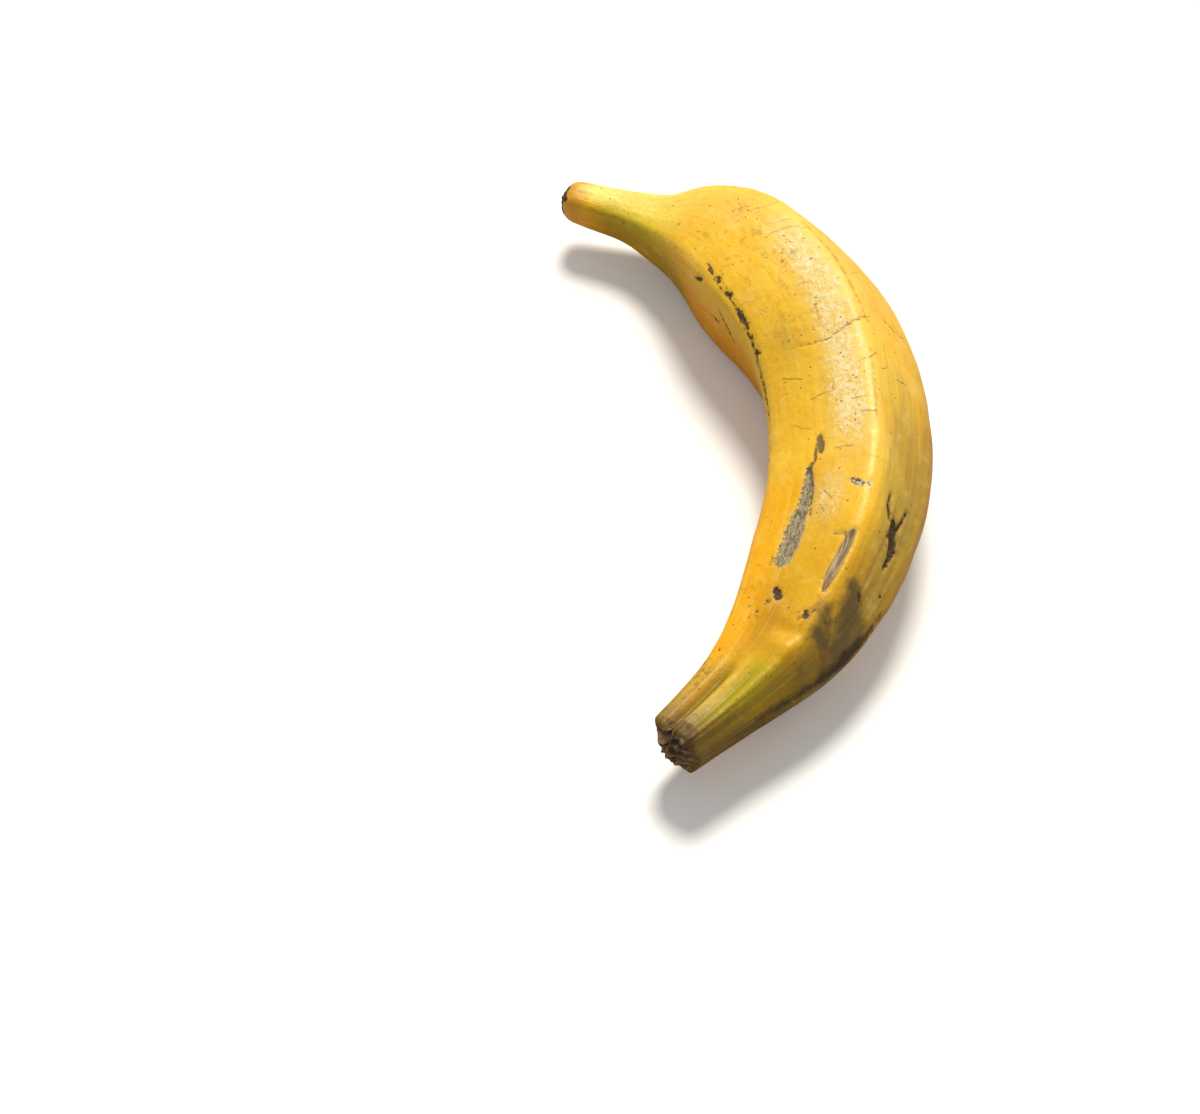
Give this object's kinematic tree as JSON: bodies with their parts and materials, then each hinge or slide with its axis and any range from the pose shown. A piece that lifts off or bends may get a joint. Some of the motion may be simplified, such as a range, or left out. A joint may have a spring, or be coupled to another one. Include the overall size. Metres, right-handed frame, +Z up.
{
  "type": "plantain",
  "caption": "Whole ripe plantain lying on its side: bowed, ridged yellow fruit with a cut stem end and a narrow neck at the blossom tip.",
  "frame": {"origin": "on the ground under the middle of the bounding box", "axes": "+X along the longest extent, from the cut stem towards the blossom tip; +Y towards the inside of the bow; +Z up"},
  "size_m": [0.2262, 0.0976, 0.0455],
  "materials": {
    "peel": "ripe yellow peel with a soft waxy gloss, grey-brown scars, green towards the stem and a torn brown stem end"
  },
  "bodies": {
    "root": {"plantain": "peel"}
  },
  "joints": []
}
